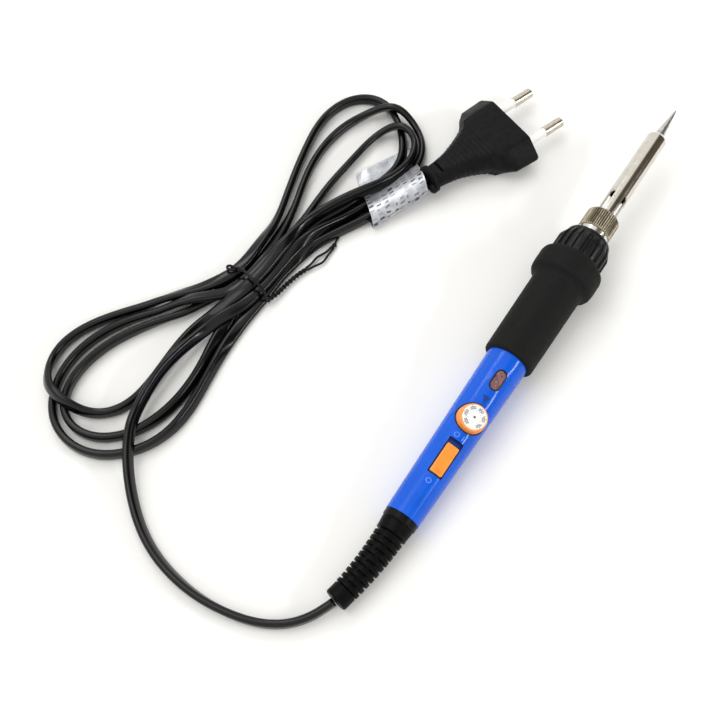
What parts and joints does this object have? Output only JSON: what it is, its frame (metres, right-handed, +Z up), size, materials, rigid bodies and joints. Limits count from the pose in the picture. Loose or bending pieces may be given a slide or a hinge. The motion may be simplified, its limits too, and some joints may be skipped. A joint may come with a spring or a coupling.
{
  "type": "soldering iron",
  "caption": "Mains soldering iron with a rubber grip, knurled sleeve nut, turning temperature dial, slide switch, ribbed boot and a flat cord tied in a hank with a two-pin plug.",
  "frame": {"origin": "on the surface it lies on, below the middle of the iron, measured from its tip to the end of its ribbed boot", "axes": "+X points towards the tip along the iron, +Z up, +Y towards the side where the cord is tied in a hank"},
  "size_m": [0.253, 0.1513, 0.0248],
  "materials": {
    "tip_metal": "polished",
    "sleeve_steel": "polished",
    "nut_nickel": "satin",
    "collar_steel": "polished",
    "ceramic": "matte",
    "black_plastic": "matte",
    "grip_rubber": "matte",
    "blue_plastic": "gloss",
    "window_plastic": "gloss",
    "lamp_glass": "gloss",
    "orange_plastic": "satin",
    "white_plastic": "satin",
    "board_green": "satin",
    "component_black": "matte",
    "component_red": "satin",
    "component_tan": "matte",
    "pot_green": "matte",
    "switch_can": "satin",
    "wire_red": "satin",
    "wire_brown": "satin",
    "cord_pvc": "satin",
    "boot_pvc": "satin",
    "tie_pvc": "satin",
    "tag_film": "satin",
    "plug_pvc": "satin",
    "pin_brass": "satin"
  },
  "bodies": {
    "handle": {"heater_core": "ceramic", "heater_bush": "ceramic", "threaded_collar": "collar_steel", "grip": "grip_rubber", "handle_shell": "blue_plastic", "indicator_window": "window_plastic", "indicator_lamp": "lamp_glass", "potentiometer": "pot_green", "switch_body": "switch_can", "circuit_board": "board_green", "triac": "component_black", "capacitor": "component_red", "resistors": "component_tan", "heater_wires": "wire_red", "mains_wires": "wire_brown", "end_cap": "black_plastic", "strain_relief": "boot_pvc", "cord_lead": "cord_pvc", "cord_hank": "cord_pvc", "cord_tail": "cord_pvc", "twist_tie": "tie_pvc", "rating_tag": "tag_film", "plug_body": "plug_pvc", "plug_pins": "pin_brass", "pin_sleeves": "white_plastic"},
    "sleeve": {"tip": "tip_metal", "tip_sleeve": "sleeve_steel"},
    "sleeve_nut": {"sleeve_nut": "nut_nickel"},
    "ring_nut": {"ring_nut": "black_plastic"},
    "dial": {"temperature_dial": "orange_plastic", "dial_face": "white_plastic", "potentiometer_shaft": "white_plastic"},
    "switch": {"switch_button": "orange_plastic", "switch_slider": "component_black"}
  },
  "joints": [
    {"name": "sleeve_slide", "type": "slide", "parent": "handle", "child": "sleeve", "axis": [0.9984, 0, 0.0565], "range_m": [0, 0.004]},
    {"name": "nut_turn", "type": "hinge", "parent": "sleeve", "child": "sleeve_nut", "pos_m": [0.05282, 0, 0.01369], "axis": [0.9984, 0, 0.0565], "range_deg": [0, 1440]},
    {"name": "ring_nut_turn", "type": "hinge", "parent": "handle", "child": "ring_nut", "pos_m": [0.04084, 0, 0.01301], "axis": [0.9984, 0, 0.0565], "range_deg": [0, 360]},
    {"name": "dial_turn", "type": "hinge", "parent": "handle", "child": "dial", "pos_m": [-0.03925, -0.00059, 0.0104], "axis": [-0.054, -0.2924, 0.9548], "range_deg": [-135, 135]},
    {"name": "switch_slide", "type": "slide", "parent": "handle", "child": "switch", "axis": [0.9984, 0, 0.0565], "range_m": [0, 0.0018]}
  ],
  "couplings": [
    {"joint": "nut_turn", "follows": "sleeve_slide", "rad_per_m": 6283.2}
  ]
}
